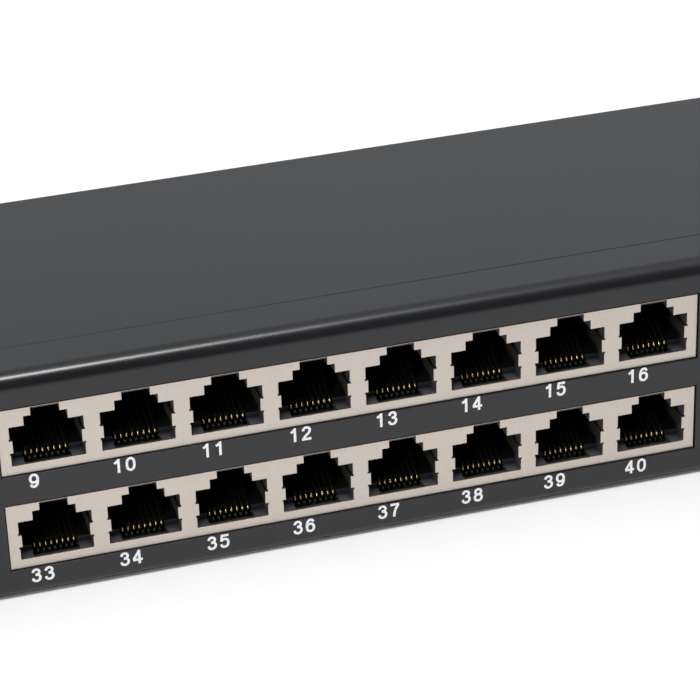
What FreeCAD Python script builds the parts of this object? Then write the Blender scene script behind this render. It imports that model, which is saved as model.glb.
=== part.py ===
import FreeCAD, Part
import os
import re
import Sketcher

# A 19-inch, one-unit patch panel with 48 shielded 8-way sockets in two rows of three groups.
# Origin: middle of the four rack slots, on the rear face of the mounting ears.
# +X runs along the panel, +Y goes from the front into the rack, +Z is up. Millimetres.

doc = FreeCAD.newDocument("PatchPanel")
sizes = doc.addObject("Spreadsheet::Sheet", "Sizes")

DRIVING = [
    # rack panel
    ("panel_width", 482.6), ("panel_height", 44.0), ("panel_sheet", 1.5), ("body_width", 436.0),
    ("slot_spacing_x", 465.1), ("slot_spacing_z", 31.75), ("slot_radius", 3.4), ("slot_long", 10.3),
    ("top_bend", 3.0), ("bottom_bend", 1.8), ("flange_depth", 10.55), ("ear_notch", 1.6),
    # tray and lid
    ("tray_sheet", 1.2), ("sheet_gap", 0.3), ("lid_rear", 66.4), ("lid_skirt", 10.0), ("tray_rear", 116.0),
    # socket grid
    ("port_pitch", 15.875), ("port_count", 8), ("row_spacing", 19.05), ("group_pitch", 139.7),
    ("floor_height", 7.27), ("window_half", 64.2), ("window_low", 1.81), ("window_high", 11.6),
    # socket opening, measured from the middle of its lower edge
    ("mouth_half", 6.5), ("mouth_top", 7.7), ("step_half", 3.825), ("step_top", 9.5),
    ("notch_half", 2.5), ("notch_top", 11.05), ("tab_low", 2.6), ("tab_high", 5.0), ("tab_inner", 6.04),
    ("ledge_inner", 4.05), ("ledge_high", 0.9), ("cavity_end", 14.0), ("cavity_half", 6.95),
    ("frame_rear", 3.0), ("notch_frame_rear", 2.2),
    # shield, housing and contacts
    ("shield_sheet", 0.3), ("shield_front", 1.05), ("shield_rear", 20.35), ("shield_top", 13.05),
    ("shield_high", 11.2),
    ("housing_half", 7.4), ("housing_rear", 19.9), ("housing_top", 12.6), ("nose_half", 7.1),
    ("nose_top", 10.85), ("nose_notch_top", 10.6),
    ("contact_pitch", 1.016), ("contact_count", 8), ("contact_width", 0.46),
    # circuit boards and punch-down blocks
    ("board_sheet", 1.6), ("board_half", 63.6), ("upper_board_rear", 40.6), ("lower_board_rear", 61.6),
    ("upper_block_front", 26.2), ("lower_block_front", 47.0), ("block_half", 7.15), ("block_depth", 13.4),
    ("block_height", 12.4), ("block_base", 4.0), ("block_wall", 4.9), ("blade_pitch", 3.6),
    # fixings
    ("fixing_pitch", 47.625), ("pillar_line", 23.3), ("rear_fixing_line", 43.8), ("spacer_across", 5.0),
    ("fine_thread", 1.2), ("fine_hole", 1.3), ("lid_screw_x", 210.0), ("lid_screw_front", 20.0),
    ("lid_screw_rear", 58.0), ("lid_thread", 1.5), ("earth_x", 190.0), ("earth_y", 88.0),
    ("comb_pitch", 17.0), ("comb_count", 23), ("comb_rear", 126.0), ("comb_top", -8.5),
]
for row, (alias, size) in enumerate(DRIVING, start=1):
    sizes.set(f"A{row}", alias.replace("_", " "))
    sizes.set(f"B{row}", str(size))
    sizes.setAlias(f"B{row}", alias)
doc.recompute()

ALIASES = re.compile(r"\b(" + "|".join(alias for alias, size in DRIVING) + r")\b")


def bound(formula):
    """Formula text with every sheet alias written as the sheet's own cell."""
    return ALIASES.sub(r"Sizes.\1", str(formula))


def number(formula):
    return float(sizes.evalExpression(bound(formula)))


def bind(target, prop, formula):
    target.setExpression(prop, bound(formula))


def new_body(label):
    made = doc.addObject("PartDesign::Body", label)
    made.Label = label
    return made


def new_sketch(owner, plane):
    """An empty sketch on one of the body's own origin planes."""
    made = owner.newObject("Sketcher::SketchObject", "Sketch")
    support = [o for o in owner.Origin.OriginFeatures if o.Role == plane][0]
    made.AttachmentSupport = [(support, "")]
    made.MapMode = "FlatFace"
    return made


def outline(sketch, corners):
    """Closed straight-sided outline whose corners follow formulas of the sheet."""
    first = sketch.GeometryCount
    points = [FreeCAD.Vector(number(u), number(v), 0) for u, v in corners]
    count = len(points)
    for i in range(count):
        sketch.addGeometry(Part.LineSegment(points[i], points[(i + 1) % count]))
    for i in range(count):
        sketch.addConstraint(Sketcher.Constraint("Coincident", first + i, 2, first + (i + 1) % count, 1))
        for kind, place, formula in (("DistanceX", points[i].x, corners[i][0]),
                                     ("DistanceY", points[i].y, corners[i][1])):
            index = sketch.addConstraint(Sketcher.Constraint(kind, -1, 1, first + i, 1, place))
            bind(sketch, f"Constraints[{index}]", formula)


def rectangle(sketch, left, right, low, high):
    outline(sketch, [(left, low), (right, low), (right, high), (left, high)])


def circle(sketch, u, v, radius):
    centre = FreeCAD.Vector(number(u), number(v), 0)
    made = sketch.addGeometry(Part.Circle(centre, FreeCAD.Vector(0, 0, 1), number(radius)))
    for rule, formula in ((Sketcher.Constraint("DistanceX", -1, 1, made, 3, centre.x), u),
                          (Sketcher.Constraint("DistanceY", -1, 1, made, 3, centre.y), v),
                          (Sketcher.Constraint("Radius", made, number(radius)), radius)):
        index = sketch.addConstraint(rule)
        bind(sketch, f"Constraints[{index}]", formula)


def pad(owner, sketch, length, both_ways=False, reverse=False):
    made = owner.newObject("PartDesign::Pad", "Pad")
    made.Profile = sketch
    made.SideType = "Symmetric" if both_ways else "One side"
    made.Reversed = reverse
    bind(made, "Length", length)
    return made


def cut(owner, sketch, length, both_ways=False, reverse=False):
    """Pocket that must take material away."""
    doc.recompute()
    before = owner.Shape.Volume
    made = owner.newObject("PartDesign::Pocket", "Pocket")
    made.Profile = sketch
    made.SideType = "Symmetric" if both_ways else "One side"
    made.Reversed = reverse
    bind(made, "Length", length)
    doc.recompute()
    if owner.Shape.Volume >= before - 1e-6:
        raise RuntimeError(f"{owner.Label}: a pocket cuts nothing")
    return made


def block(owner, x, y, z, kind="Additive"):
    """Box feature between the formulas of its low and high faces."""
    made = owner.newObject(f"PartDesign::{kind}Box", "Block")
    for prop, (low, high) in (("Length", x), ("Width", y), ("Height", z)):
        bind(made, prop, f"({high}) - ({low})")
    for axis, (low, high) in (("x", x), ("y", y), ("z", z)):
        bind(made, f"Placement.Base.{axis}", low)
    return made


def repeat(owner, features, sketch, axis, pitch, count):
    """Linear pattern of some features, or of the whole body where features is None."""
    made = owner.newObject("PartDesign::LinearPattern", "Pattern")
    if features is None:
        made.TransformMode = "Whole shape"
    else:
        made.Originals = features
    made.Direction = (sketch, [axis])
    made.Mode = "Spacing"
    bind(made, "Offset", pitch)
    bind(made, "Occurrences", count)
    owner.Tip = made
    return made


def round_edges(owner, radius, wanted):
    """Fillet on the straight edges for which wanted(start, end) is true."""
    doc.recompute()
    base = owner.Tip
    names = []
    for i, edge in enumerate(base.Shape.Edges, start=1):
        if len(edge.Vertexes) == 2 and wanted(edge.Vertexes[0].Point, edge.Vertexes[1].Point):
            names.append(f"Edge{i}")
    if not names:
        raise RuntimeError(f"{owner.Label}: no edge to round")
    made = owner.newObject("PartDesign::Fillet", "Fillet")
    made.Base = (base, names)
    bind(made, "Radius", radius)
    return made


def along_x_at(y, z):
    """Test for edges that run along X at one height and depth."""
    y_place, z_place = number(y), number(z)

    def wanted(start, end):
        return all(abs(p.y - y_place) < 0.01 and abs(p.z - z_place) < 0.01 for p in (start, end))
    return wanted


nodes = []


def node(thing, label=None):
    """Registers a finished sub-part under the name of its file."""
    if label:
        thing.Label = label
    nodes.append(thing)
    return thing


def placed_copy(master, label, x="0", y="0", z="0"):
    """Copy of a master part, set at formulas of the sheet."""
    made = doc.addObject("Part::Compound", label)
    made.Label = label
    made.Links = [master]
    for axis, formula in (("x", x), ("y", y), ("z", z)):
        bind(made, f"Placement.Base.{axis}", formula)
    return node(made)


ROWS = [("lower", "-panel_height / 2 + floor_height"),
        ("upper", "-panel_height / 2 + floor_height + row_spacing")]
GROUPS = [("left", "-group_pitch"), ("middle", "0"), ("right", "group_pitch")]
FLOOR = "(-panel_height / 2)"
TOP = "(panel_height / 2)"


def six_copies(master, label, rise="0", depth=None):
    """One copy of a socket-row part for each row of each group."""
    for row_name, row_z in ROWS:
        for group_name, group_x in GROUPS:
            y = depth[row_name] if depth else "0"
            placed_copy(master, f"{label}_{row_name}_{group_name}", group_x, y, f"{row_z} + {rise}")


# ---- front panel: folded steel channel with ears and six windows ----
panel = new_body("front_panel")
channel = new_sketch(panel, "YZ_Plane")
BACK = "flange_depth - panel_sheet"
outline(channel, [
    (BACK, FLOOR), ("-panel_sheet", FLOOR), ("-panel_sheet", TOP), (BACK, TOP),
    (BACK, f"{TOP} - panel_sheet"), ("0", f"{TOP} - panel_sheet"),
    ("0", f"{FLOOR} + panel_sheet"), (BACK, f"{FLOOR} + panel_sheet")])
pad(panel, channel, "body_width", both_ways=True)
round_edges(panel, "top_bend", along_x_at("-panel_sheet", TOP))
round_edges(panel, "top_bend - panel_sheet", along_x_at("0", f"{TOP} - panel_sheet"))
round_edges(panel, "bottom_bend", along_x_at("-panel_sheet", FLOOR))
round_edges(panel, "bottom_bend - panel_sheet", along_x_at("0", f"{FLOOR} + panel_sheet"))
for side in (-1, 1):
    neck = f"{side} * (body_width / 2 - ear_notch)"
    ear_root = f"{side} * (body_width / 2 + ear_notch)"
    ear_end = f"{side} * panel_width / 2"
    ear = new_sketch(panel, "XZ_Plane")
    notch = f"({TOP} - top_bend - 0.6)"
    outline(ear, [(neck, f"-{notch}"), (ear_root, f"-{notch}"), (ear_root, FLOOR), (ear_end, FLOOR),
                  (ear_end, TOP), (ear_root, TOP), (ear_root, notch), (neck, notch)])
    pad(panel, ear, "panel_sheet")
    # side flange that the tray is riveted to
    outer, inner = f"{side} * body_width / 2", f"{side} * (body_width / 2 - panel_sheet)"
    low_x, high_x = (outer, inner) if side < 0 else (inner, outer)
    block(panel, (low_x, high_x), ("-panel_sheet / 2", "9.8"), ("-18.5", "18.5"))
# tongue under the lid's front edge
block(panel, ("-200", "200"), ("4", "8.8"), (f"{TOP} - 3.3", f"{TOP} - 1.5"))
block(panel, ("-200", "200"), ("8.8", "13.5"), (f"{TOP} - 3.3", f"{TOP} - panel_sheet - sheet_gap"))
windows = new_sketch(panel, "XZ_Plane")
for row_name, row_z in ROWS:
    for group_name, group_x in GROUPS:
        rectangle(windows, f"{group_x} - window_half", f"{group_x} + window_half",
                  f"{row_z} - window_low", f"{row_z} + window_high")
cut(panel, windows, "2 * panel_sheet + 1", both_ways=True)
rack_slots = new_sketch(panel, "XZ_Plane")
slot_ends = new_sketch(panel, "XZ_Plane")
for side in (-1, 1):
    for level in (-1, 1):
        mid_x, mid_z = f"{side} * slot_spacing_x / 2", f"{level} * slot_spacing_z / 2"
        reach = "(slot_long / 2 - slot_radius)"
        rectangle(rack_slots, f"{mid_x} - {reach}", f"{mid_x} + {reach}",
                  f"{mid_z} - slot_radius", f"{mid_z} + slot_radius")
        for end in (-1, 1):
            circle(slot_ends, f"{mid_x} + {end} * {reach}", mid_z, "slot_radius")
cut(panel, rack_slots, "2 * panel_sheet + 1", both_ways=True)
cut(panel, slot_ends, "2 * panel_sheet + 1", both_ways=True)
rivet_holes = new_sketch(panel, "YZ_Plane")
for level in ("-12", "12"):
    circle(rivet_holes, "5.6", level, "1.6")
cut(panel, rivet_holes, "body_width + 20", both_ways=True)
round_edges(panel, "2", lambda start, end: (
    abs(abs(start.x) - number("panel_width / 2")) < 0.01 and abs(abs(start.z) - number(TOP)) < 0.01
    and (start - end).Length < number("panel_sheet") + 0.01))
node(panel)

# ---- base tray: floor, side walls and the ledges that carry the lid ----
tray = new_body("base_tray")
WALL_OUT = "(body_width / 2 - panel_sheet - sheet_gap)"
WALL_IN = f"({WALL_OUT} - tray_sheet)"
TRAY_TOP = f"({TOP} - panel_sheet - sheet_gap)"
block(tray, (f"-{WALL_OUT}", WALL_OUT), ("flange_depth - panel_sheet + sheet_gap", "tray_rear"),
      (FLOOR, f"{FLOOR} + tray_sheet"))
sides = new_sketch(tray, "YZ_Plane")
UNDER = f"{FLOOR} + panel_sheet + sheet_gap"
outline(sides, [
    ("sheet_gap", UNDER), ("flange_depth - panel_sheet + sheet_gap", UNDER),
    ("flange_depth - panel_sheet + sheet_gap", FLOOR), ("tray_rear", FLOOR), ("tray_rear", "-13"),
    ("lid_rear + 6", "8"), ("lid_rear", TRAY_TOP), ("sheet_gap", TRAY_TOP)])
pad(tray, sides, f"2 * {WALL_OUT}", both_ways=True)
block(tray, (f"-{WALL_IN}", WALL_IN), ("0", "tray_rear + 1"), (f"{FLOOR} + tray_sheet", TOP), "Subtractive")
for side in (-1, 1):
    edge, wall = f"{side} * 204", f"{side} * {WALL_IN}"
    low_x, high_x = (wall, edge) if side < 0 else (edge, wall)
    block(tray, (low_x, high_x), ("14", "64.4"), (f"{TRAY_TOP} - tray_sheet", TRAY_TOP))
ledge_holes = new_sketch(tray, "XY_Plane")
floor_holes = new_sketch(tray, "XY_Plane")
for side in (-1, 1):
    for line in ("lid_screw_front", "lid_screw_rear"):
        circle(ledge_holes, f"{side} * lid_screw_x", line, "lid_thread + 0.05")
for i in range(6):
    circle(floor_holes, f"{i - 2.5} * 76", "107.5", "1.5")
circle(floor_holes, "earth_x", "earth_y", "3.05")
cut(tray, ledge_holes, TOP, reverse=True)
cut(tray, floor_holes, f"-{FLOOR}")
tray_rivets = new_sketch(tray, "YZ_Plane")
for level in ("-12", "12"):
    circle(tray_rivets, "5.6", level, "1.6")
cut(tray, tray_rivets, "body_width + 20", both_ways=True)
node(tray)

# ---- lid: flat cover with side and rear skirts, lifts off for punching down ----
lid = new_body("top_lid")
LID_FRONT = "flange_depth - panel_sheet + 0.1"
block(lid, ("-body_width / 2", "body_width / 2"), (LID_FRONT, "lid_rear"), (f"{TOP} - panel_sheet", TOP))
for side in (-1, 1):
    outer, inner = f"{side} * body_width / 2", f"{side} * (body_width / 2 - panel_sheet)"
    low_x, high_x = (outer, inner) if side < 0 else (inner, outer)
    block(lid, (low_x, high_x), ("10.4", "lid_rear"), (f"{TOP} - lid_skirt", f"{TOP} - panel_sheet / 2"))
block(lid, (f"-{WALL_IN} + 0.5", f"{WALL_IN} - 0.5"), ("lid_rear - panel_sheet", "lid_rear"),
      (f"{TOP} - lid_skirt", f"{TOP} - panel_sheet / 2"))
round_edges(lid, "1.2", along_x_at("lid_rear", TOP))
countersinks = new_sketch(lid, "XY_Plane")
for side in (-1, 1):
    for line in ("lid_screw_front", "lid_screw_rear"):
        circle(countersinks, f"{side} * lid_screw_x", line, "lid_thread + 0.1")
cut(lid, countersinks, f"{TOP} + 1", reverse=True)
for side in (-1, 1):
    for line in ("lid_screw_front", "lid_screw_rear"):
        cone = lid.newObject("PartDesign::SubtractiveCone", "Countersink")
        bind(cone, "Radius1", "lid_thread + 0.1")
        bind(cone, "Radius2", "lid_thread + 1.6")
        bind(cone, "Height", "panel_sheet")
        bind(cone, "Placement.Base.x", f"{side} * lid_screw_x")
        bind(cone, "Placement.Base.y", line)
        bind(cone, "Placement.Base.z", f"{TOP} - panel_sheet")
node(lid)

# ---- captive lid screws: countersunk, cross recess ----
screw = new_body("lid_screw_master")
profile = new_sketch(screw, "XZ_Plane")
outline(profile, [("0", f"{TOP} - 8"), ("lid_thread", f"{TOP} - 8"), ("lid_thread", f"{TOP} - panel_sheet - 0.03"),
                  ("lid_thread + 1.45", f"{TOP} - 0.08"), ("0", f"{TOP} - 0.08")])
turned = screw.newObject("PartDesign::Revolution", "Revolution")
turned.Profile = profile
turned.ReferenceAxis = (profile, ["V_Axis"])
turned.Angle = 360
for half_x, half_y in (("1.5", "0.3"), ("0.3", "1.5")):
    block(screw, (f"-{half_x}", half_x), (f"-{half_y}", half_y), (f"{TOP} - 1.1", TOP), "Subtractive")
for end_name, line in (("front", "lid_screw_front"), ("rear", "lid_screw_rear")):
    for side_name, side in (("left", "-1"), ("right", "1")):
        placed_copy(screw, f"lid_screw_{end_name}_{side_name}", f"{side} * lid_screw_x", line)

# ---- socket shields: one tinned steel strip over the eight sockets of a row ----
shield = new_body("jack_shield_master")
section = new_sketch(shield, "YZ_Plane")
LOW, HIGH = "(-window_low + 0.1)", "shield_high"
outline(section, [
    ("0.4", LOW), ("-shield_front", LOW), ("-shield_front", HIGH), ("0.1", HIGH), ("0.1", "shield_top"),
    ("shield_rear", "shield_top"), ("shield_rear", "-1.2"), ("shield_rear - shield_sheet", "-1.2"),
    ("shield_rear - shield_sheet", "shield_top - shield_sheet"), ("0.4", "shield_top - shield_sheet"),
    ("0.4", f"{HIGH} - shield_sheet"), ("-shield_front + shield_sheet", f"{HIGH} - shield_sheet"),
    ("-shield_front + shield_sheet", f"{LOW} + shield_sheet"), ("0.4", f"{LOW} + shield_sheet")])
pad(shield, section, "2 * window_half - 0.4", both_ways=True)
for side in (-1, 1):
    outer, inner = f"{side} * (window_half - 0.2)", f"{side} * (window_half - 0.2 - shield_sheet)"
    low_x, high_x = (outer, inner) if side < 0 else (inner, outer)
    block(shield, (low_x, high_x), ("0.1", "shield_rear"), (LOW, "shield_top"))
    block(shield, (low_x, high_x), ("-shield_front", "0.4"), (LOW, HIGH))


def mouth(sketch, shift, low="0", top="notch_top"):
    """Stepped outline of a socket opening, latch notch upwards."""
    half = [("mouth_half", low), ("mouth_half", "mouth_top"), ("step_half", "mouth_top"),
            ("step_half", "step_top"), ("notch_half", "step_top"), ("notch_half", top)]
    corners = [(f"{shift} + {u}", v) for u, v in half]
    corners += [(f"{shift} - {u}", v) for u, v in reversed(half)]
    outline(sketch, corners)


FIRST = "-(port_count - 1) * port_pitch / 2"
first_mouth = new_sketch(shield, "XZ_Plane")
mouth(first_mouth, FIRST)
opening = cut(shield, first_mouth, "shield_front + 0.3", reverse=True)
slits = new_sketch(shield, "XZ_Plane")
for side in (-1, 1):
    for low, high in (("tab_low - 0.4", "tab_low"), ("tab_high", "tab_high + 0.4")):
        near, far = f"{FIRST} + {side} * (mouth_half - 0.1)", f"{FIRST} + {side} * (mouth_half + 0.15)"
        left, right = (far, near) if side < 0 else (near, far)
        rectangle(slits, left, right, low, high)
slit_cut = cut(shield, slits, "shield_front + 0.3", reverse=True)
repeat(shield, [opening, slit_cut], first_mouth, "H_Axis", "port_pitch", "port_count")
tabs = []
for side in (-1, 1):
    root, tip = f"{FIRST} + {side} * (mouth_half + 0.05)", f"{FIRST} + {side} * tab_inner"
    blade = f"{FIRST} + {side} * (tab_inner + shield_sheet)"
    low_x, high_x = (root, tip) if side < 0 else (tip, root)
    tabs.append(block(shield, (low_x, high_x), ("-shield_front", "-shield_front + shield_sheet"),
                      ("tab_low", "tab_high")))
    low_x, high_x = (blade, tip) if side < 0 else (tip, blade)
    tabs.append(block(shield, (low_x, high_x), ("-shield_front", "6"), ("tab_low", "tab_high")))
repeat(shield, tabs, first_mouth, "H_Axis", "port_pitch", "port_count")
six_copies(shield, "jack_shield")

# ---- socket housings: eight black moulded bodies side by side ----
housing = new_body("jack_housings_master")
MID = FIRST
block(housing, (f"{MID} - housing_half", f"{MID} + housing_half"), ("0.55", "housing_rear"),
      ("-1.75", "housing_top"))
block(housing, (f"{MID} - nose_half", f"{MID} + nose_half"), ("-0.65", "0.56"), ("-1.3", "nose_top"))
front_cut = new_sketch(housing, "XZ_Plane")
mouth(front_cut, MID, low="0.01", top="nose_notch_top")
cut(housing, front_cut, "4", both_ways=True)
deep_cut = new_sketch(housing, "XZ_Plane")
outline(deep_cut, [
    (f"{MID} - ledge_inner", "0"), (f"{MID} + ledge_inner", "0"), (f"{MID} + ledge_inner", "ledge_high"),
    (f"{MID} + mouth_half", "ledge_high"), (f"{MID} + mouth_half", "mouth_top"),
    (f"{MID} + step_half", "mouth_top"), (f"{MID} + step_half", "step_top"),
    (f"{MID} + notch_half", "step_top"), (f"{MID} + notch_half", "nose_notch_top"),
    (f"{MID} - notch_half", "nose_notch_top"), (f"{MID} - notch_half", "step_top"),
    (f"{MID} - step_half", "step_top"), (f"{MID} - step_half", "mouth_top"),
    (f"{MID} - mouth_half", "mouth_top"), (f"{MID} - mouth_half", "ledge_high"),
    (f"{MID} - ledge_inner", "ledge_high")])
cut(housing, deep_cut, "2 * cavity_end", both_ways=True)
# behind the front frame the cavity is wider than the mouth, and its latch channel too
block(housing, (f"{MID} - cavity_half", f"{MID} + cavity_half"), ("frame_rear", "cavity_end"),
      ("ledge_high", "mouth_top + 0.1"), "Subtractive")
block(housing, (f"{MID} - step_half - 0.3", f"{MID} + step_half + 0.3"), ("notch_frame_rear", "cavity_end"),
      ("mouth_top - 0.2", "nose_notch_top + 0.4"), "Subtractive")
block(housing, (f"{MID} - 4.15", f"{MID} + 4.15"), ("1.5", "cavity_end + 0.1"), ("-2", "0.1"), "Subtractive")
block(housing, (f"{MID} - 4.15", f"{MID} + 4.15"), ("-0.7", "1.6"), ("-1.1", "0.1"), "Subtractive")
block(housing, (f"{MID} - 4.45", f"{MID} + 4.45"), ("cavity_end - 0.1", "housing_rear + 1"), ("-2", "8.6"),
      "Subtractive")
repeat(housing, None, front_cut, "H_Axis", "port_pitch", "port_count")
six_copies(housing, "jack_housings")

# ---- contact carriers: the insert in each socket that holds and combs its eight wires ----
carrier = new_body("contact_carriers_master")
block(carrier, (f"{MID} - 4.3", f"{MID} + 4.3"), ("cavity_end + 0.3", "housing_rear - 0.2"), ("-1.7", "8.4"))
tongue = block(carrier, (f"{MID} - 4", f"{MID} + 4"), ("2.5", "cavity_end + 0.4"), ("-1.7", "-0.15"))
comb_slot = new_sketch(carrier, "XZ_Plane")
rectangle(comb_slot, f"{MID} - 3.5 * contact_pitch - 0.32", f"{MID} - 3.5 * contact_pitch + 0.32", "1", "9")
comb_cut = cut(carrier, comb_slot, "2 * cavity_end + 4.4", both_ways=True)
repeat(carrier, [comb_cut], comb_slot, "H_Axis", "contact_pitch", "contact_count")
repeat(carrier, None, comb_slot, "H_Axis", "port_pitch", "port_count")
six_copies(carrier, "contact_carriers")

# ---- socket contacts: bent gold-plated wires, tail soldered in the board ----
contacts = new_body("jack_contacts_master")
wire = new_sketch(contacts, "YZ_Plane")
outline(wire, [("17.7", "-4.9"), ("17.35", "-4.9"), ("17.35", "-1.1"), ("1.9", "-1.1"), ("1.9", "0.55"),
               ("15.3", "6.1"), ("15.45", "5.75"), ("2.25", "0.4"), ("2.25", "-0.75"), ("17.7", "-0.75")])
pad(contacts, wire, "contact_width", both_ways=True)
across = new_sketch(contacts, "XZ_Plane")
rectangle(across, "-1", "1", "-1", "1")
repeat(contacts, None, across, "H_Axis", "contact_pitch", "contact_count")
repeat(contacts, None, across, "H_Axis", "port_pitch", "port_count")
for row_name, row_z in ROWS:
    for group_name, group_x in GROUPS:
        placed_copy(contacts, f"jack_contacts_{row_name}_{group_name}",
                    f"{group_x} + {FIRST} - (contact_count - 1) * contact_pitch / 2", "0", row_z)

# ---- circuit boards: one under each row of each group ----
for row_name, rear in (("lower", "lower_board_rear"), ("upper", "upper_board_rear")):
    board = new_body(f"{row_name}_board_master")
    block(board, ("-board_half", "board_half"), ("1", rear), ("-window_low - board_sheet", "-window_low"))
    drill = new_sketch(board, "XY_Plane")
    for i in (-1, 0, 1):
        circle(drill, f"{i} * fixing_pitch", "pillar_line", "fine_hole")
        if row_name == "lower":
            circle(drill, f"{i} * fixing_pitch", "rear_fixing_line", "fine_hole")
    cut(board, drill, "6")
    for group_name, group_x in GROUPS:
        placed_copy(board, f"circuit_board_{row_name}_{group_name}", group_x, "0", dict(ROWS)[row_name])

# ---- punch-down blocks: two walls of four wire slots over each socket's board ----
blocks = new_body("idc_blocks_master")
block(blocks, (f"{MID} - block_half", f"{MID} + block_half"), ("0", "block_depth"), ("0", "block_height"))
block(blocks, (f"{MID} - block_half - 1", f"{MID} + block_half + 1"), ("block_wall", "block_depth - block_wall"),
      ("block_base", "block_height + 1"), "Subtractive")
wire_slot = new_sketch(blocks, "XZ_Plane")
rectangle(wire_slot, f"{MID} - 1.5 * blade_pitch - 0.45", f"{MID} - 1.5 * blade_pitch + 0.45",
          "block_base + 1", "block_height + 1")
slot_cut = cut(blocks, wire_slot, "3 * block_depth", both_ways=True)
repeat(blocks, [slot_cut], wire_slot, "H_Axis", "blade_pitch", "4")
repeat(blocks, None, wire_slot, "H_Axis", "port_pitch", "port_count")
BLOCK_FRONT = {"lower": "lower_block_front", "upper": "upper_block_front"}
six_copies(blocks, "idc_blocks", "-window_low", BLOCK_FRONT)

# ---- punch-down blades: forked contacts standing in the wire slots ----
blades = new_body("idc_contacts_master")
blade_plan = new_sketch(blades, "XY_Plane")
BLADE_X = f"{MID} - 1.5 * blade_pitch"
for front in ("1.2", "block_depth - 3.7"):
    block(blades, (f"{BLADE_X} - 0.2", f"{BLADE_X} + 0.2"), (front, f"{front} + 2.5"),
          ("block_base + 1", "block_height - 2"))
rectangle(blade_plan, "-1", "1", "-1", "1")
repeat(blades, None, blade_plan, "H_Axis", "blade_pitch", "4")
repeat(blades, None, blade_plan, "H_Axis", "port_pitch", "port_count")
six_copies(blades, "idc_contacts", "-window_low", BLOCK_FRONT)


def hexagon(sketch, u, v, across):
    """Hexagon with the given distance across its flats."""
    half = f"({across}) / 2"
    flat = f"({across}) * 0.288675"
    outline(sketch, [(f"{u} + {half}", f"{v} - {flat}"), (f"{u} + {half}", f"{v} + {flat}"),
                     (u, f"{v} + 2 * {flat}"), (f"{u} - {half}", f"{v} + {flat}"),
                     (f"{u} - {half}", f"{v} - {flat}"), (u, f"{v} - 2 * {flat}")])


def stack(label, outlines, low, high):
    """Upright solids on XY outlines between two heights."""
    made = new_body(label)
    plan = new_sketch(made, "XY_Plane")
    outlines(plan)
    bind(plan, "AttachmentOffset.Base.z", low)
    pad(made, plan, f"({high}) - ({low})")
    return made


FIXINGS = [f"{group} + {i} * fixing_pitch" for name, group in GROUPS for i in (-1, 0, 1)]
LOWER_BOARD = f"({FLOOR} + floor_height - window_low)"
UPPER_BOARD = f"({LOWER_BOARD} + row_spacing)"

# ---- short spacers between the tray and the lower boards ----
spacers = stack("board_spacers", lambda plan: [
    hexagon(plan, x, line, "spacer_across") for x in FIXINGS for line in ("pillar_line", "rear_fixing_line")],
    f"{FLOOR} + tray_sheet", f"{LOWER_BOARD} - board_sheet")
node(spacers)

# ---- tall pillars between the lower and the upper boards, each with a stud below ----
pillars = stack("board_pillars", lambda plan: [hexagon(plan, x, "pillar_line", "spacer_across") for x in FIXINGS],
                LOWER_BOARD, f"{UPPER_BOARD} - board_sheet")
studs = new_sketch(pillars, "XY_Plane")
bores = new_sketch(pillars, "XY_Plane")
bind(studs, "AttachmentOffset.Base.z", f"{LOWER_BOARD} - board_sheet")
bind(bores, "AttachmentOffset.Base.z", f"{UPPER_BOARD} - board_sheet")
for x in FIXINGS:
    circle(studs, x, "pillar_line", "fine_thread")
    circle(bores, x, "pillar_line", "fine_hole")
pad(pillars, studs, "board_sheet + 0.1")
cut(pillars, bores, "6")
node(pillars)


def pan_screws(label, places, seat, shank, thread, head, rise):
    """Group of pan-head screws standing on one seat height."""
    made = new_body(label)
    shanks, heads = new_sketch(made, "XY_Plane"), new_sketch(made, "XY_Plane")
    bind(shanks, "AttachmentOffset.Base.z", f"{seat} - ({shank})")
    bind(heads, "AttachmentOffset.Base.z", seat)
    for x, y in places:
        circle(shanks, x, y, thread)
        circle(heads, x, y, head)
    pad(made, shanks, f"{shank} + 0.1")
    pad(made, heads, rise)
    for half_x, half_y in ((f"{thread}", "0.25"), ("0.25", f"{thread}")):
        driven = new_sketch(made, "XY_Plane")
        bind(driven, "AttachmentOffset.Base.z", f"{seat} + {rise}")
        for x, y in places:
            rectangle(driven, f"{x} - {half_x}", f"{x} + {half_x}", f"{y} - {half_y}", f"{y} + {half_y}")
        cut(made, driven, "0.8")
    return node(made)


pan_screws("board_screws_upper", [(x, "pillar_line") for x in FIXINGS], UPPER_BOARD,
           "board_sheet + 4", "fine_thread", "2.2", "1.5")
pan_screws("board_screws_lower", [(x, "rear_fixing_line") for x in FIXINGS], LOWER_BOARD,
           "board_sheet", "fine_thread", "2.2", "1.5")

# ---- rear cable comb: folded strip with lugs for cable ties ----
comb = new_body("rear_cable_comb")
fold = new_sketch(comb, "YZ_Plane")
outline(fold, [
    ("102", f"{FLOOR} + tray_sheet"), ("113", f"{FLOOR} + tray_sheet"), ("113", "comb_top - 1.5"),
    ("comb_rear", "comb_top - 1.5"), ("comb_rear", "comb_top"), ("111.5", "comb_top"),
    ("111.5", f"{FLOOR} + tray_sheet + 1.5"), ("102", f"{FLOOR} + tray_sheet + 1.5")])
pad(comb, fold, "(comb_count + 1) * comb_pitch", both_ways=True)
ties = new_sketch(comb, "XY_Plane")
START = "-(comb_count - 1) * comb_pitch / 2"
outline(ties, [
    (f"{START} - 3.2", "comb_rear - 7.2"), (f"{START} + 3.2", "comb_rear - 7.2"),
    (f"{START} + 3.2", "comb_rear - 3.4"), (f"{START} + 1.7", "comb_rear - 3.4"),
    (f"{START} + 1.7", "comb_rear + 1"), (f"{START} - 1.7", "comb_rear + 1"),
    (f"{START} - 1.7", "comb_rear - 3.4"), (f"{START} - 3.2", "comb_rear - 3.4")])
tie_cut = cut(comb, ties, "-comb_top + 4")
repeat(comb, [tie_cut], ties, "H_Axis", "comb_pitch", "comb_count")
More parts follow.
